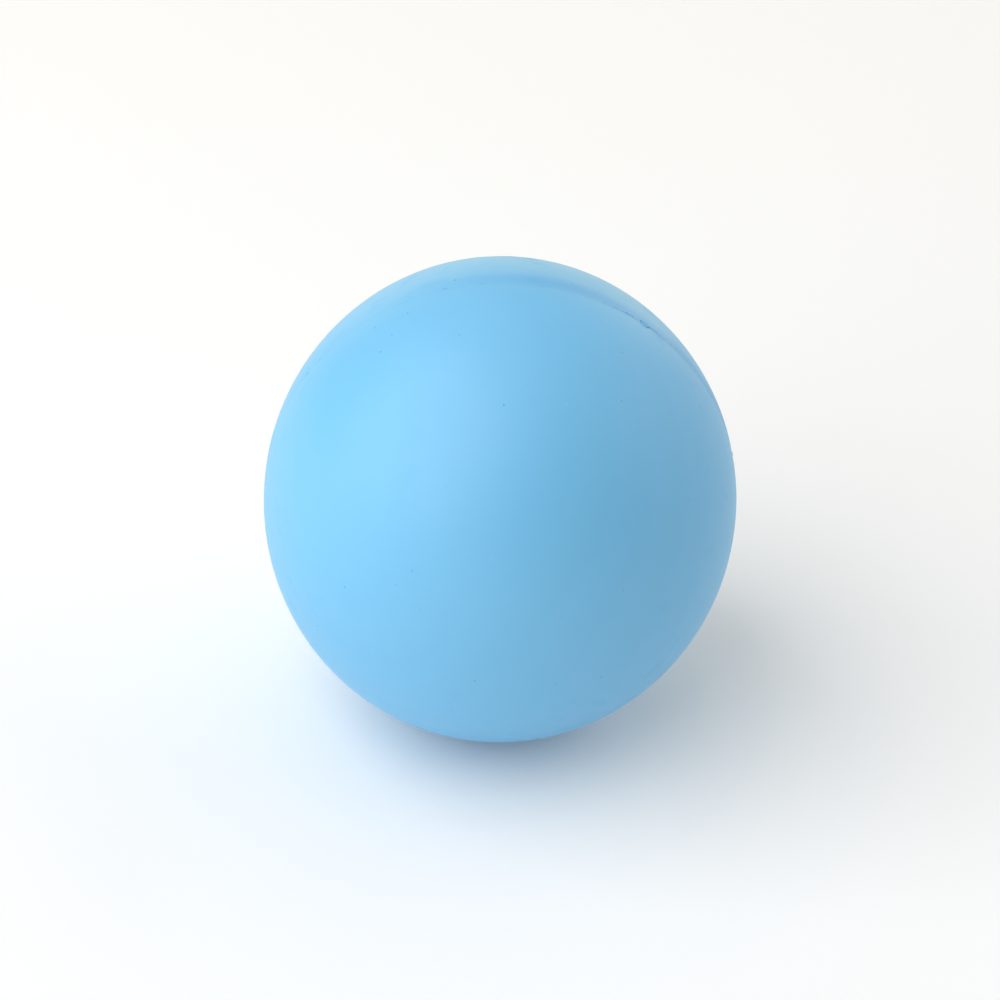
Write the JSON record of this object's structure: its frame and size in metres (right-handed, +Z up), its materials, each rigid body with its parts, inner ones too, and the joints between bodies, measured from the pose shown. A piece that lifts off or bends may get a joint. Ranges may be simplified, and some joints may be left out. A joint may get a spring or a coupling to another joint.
{
  "type": "stress ball",
  "caption": "Moulded foam stress ball: a soft foam core in a dense skin and a light-blue colour coat, with two halves that squeeze in towards the core and spring back.",
  "frame": {"origin": "middle of the flat where the pour gate was cut off, at the foot of the ball, which it rests on", "axes": "+Z up through the ball's longer axis; the mould parted on the XZ plane, the front half faces -Y and the rear half faces +Y; the vent nib is on the +X side of the top"},
  "size_m": [0.0626, 0.0624, 0.0647],
  "materials": {
    "open_foam": "soft open-celled polyurethane foam, matte and pale cream",
    "dense_foam": "dense self-skinned polyurethane foam, smooth and matte",
    "colour_coat": "light-blue flexible paint with a soft satin sheen and a very fine mould texture",
    "touch_up_paint": "light-blue flexible paint laid on by brush, a little glossier than the coat"
  },
  "bodies": {
    "core": {"foam_core": "open_foam", "seam_bead": "colour_coat", "vent_nib": "colour_coat", "gate_stub": "dense_foam", "gate_paint_dab": "touch_up_paint"},
    "front_half": {"front_skin": "dense_foam", "front_colour_coat": "colour_coat"},
    "rear_half": {"rear_skin": "dense_foam", "rear_colour_coat": "colour_coat"}
  },
  "joints": [
    {"name": "front_squeeze", "type": "slide", "parent": "core", "child": "front_half", "axis": [0, 1, 0], "range_m": [0, 0.0125], "stiffness_N_per_m": 3000, "deforming": ["front_skin", "front_colour_coat", "foam_core"]},
    {"name": "rear_squeeze", "type": "slide", "parent": "core", "child": "rear_half", "axis": [0, -1, 0], "range_m": [0, 0.0125], "stiffness_N_per_m": 3000, "deforming": ["rear_skin", "rear_colour_coat", "foam_core"]}
  ],
  "couplings": [
    {"joint": "rear_squeeze", "follows": "front_squeeze", "ratio": 1}
  ]
}
